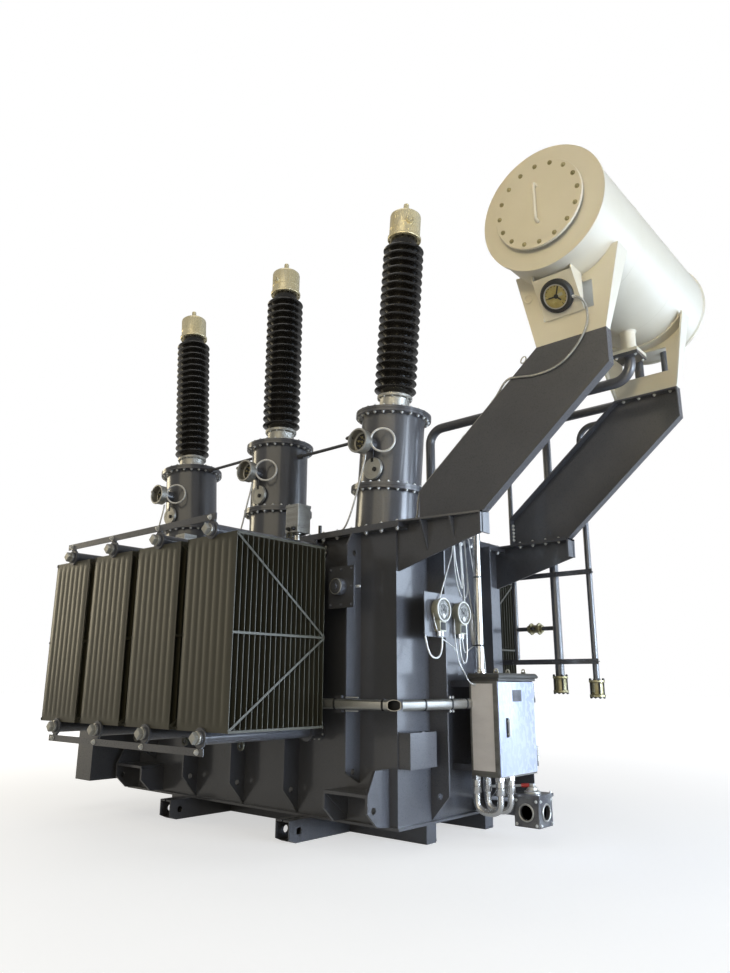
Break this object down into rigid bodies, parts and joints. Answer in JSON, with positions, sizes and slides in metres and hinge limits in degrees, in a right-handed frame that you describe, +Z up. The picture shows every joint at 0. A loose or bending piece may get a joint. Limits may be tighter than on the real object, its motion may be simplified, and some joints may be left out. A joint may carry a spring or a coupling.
{
  "type": "power transformer",
  "caption": "Oil-filled power transformer: ribbed tank on skids, panel radiators, leaning bushings on turrets, raised conservator on struts and a control cabinet with a hinged door.",
  "frame": {"origin": "on the ground, under the middle of the whole object's box", "axes": "+X along the tank towards the conservator, +Y across the tank to the rear, +Z up along the middle bushing"},
  "size_m": [5.136, 3.654, 5],
  "materials": {
    "brass": "satin",
    "dark_paint": "gloss",
    "film": "gloss film",
    "porcelain": "gloss glaze",
    "rubber": "matt",
    "stainless": "brushed",
    "white_paint": "satin",
    "zinc": "satin"
  },
  "bodies": {
    "root": {"blanking_flange": "dark_paint", "bushing_caps": "brass", "bushing_collars": "zinc", "bushings": "porcelain", "cabinet_brackets": "dark_paint", "cabinet_hoses": "stainless", "cabinet_roof": "stainless", "cabinet_shell": "stainless", "cable_ducts": "stainless", "conservator_ends": "white_paint", "conservator_saddles": "white_paint", "conservator_shell": "white_paint", "conservator_supports": "dark_paint", "ct_terminal_boxes": "dark_paint", "drain_valve": "zinc", "drop_pipes": "dark_paint", "end_ribs": "dark_paint", "far_end_box": "dark_paint", "gas_relay": "dark_paint", "gauge_bracket": "white_paint", "gauge_conduit": "stainless", "hinge_pins": "stainless", "jacking_brackets": "dark_paint", "junction_boxes": "stainless", "lv_bushings": "porcelain", "manhole_cover": "white_paint", "nameplate_bracket": "dark_paint", "oil_level_gauge": "rubber", "oil_pipe": "dark_paint", "pipe_ties": "dark_paint", "pipe_valves": "brass", "radiator_tie_bars": "dark_paint", "radiator_valves": "dark_paint", "radiators_front": "dark_paint", "radiators_rear": "dark_paint", "riser_conduit": "stainless", "skids": "dark_paint", "support_arms": "dark_paint", "tank_body": "dark_paint", "tank_cover": "dark_paint", "tank_flange": "dark_paint", "thermometer_plate": "dark_paint", "thermometers": "stainless", "turrets": "dark_paint", "vent_pipes": "dark_paint", "wall_ribs": "dark_paint"},
    "cabinet_door": {"cabinet_door": "film"}
  },
  "joints": [
    {"name": "cabinet_door_hinge", "type": "hinge", "parent": "root", "child": "cabinet_door", "pos_m": [1.164, 0.449, 0.784], "axis": [0, 0, 1], "range_deg": [0, 110]}
  ]
}
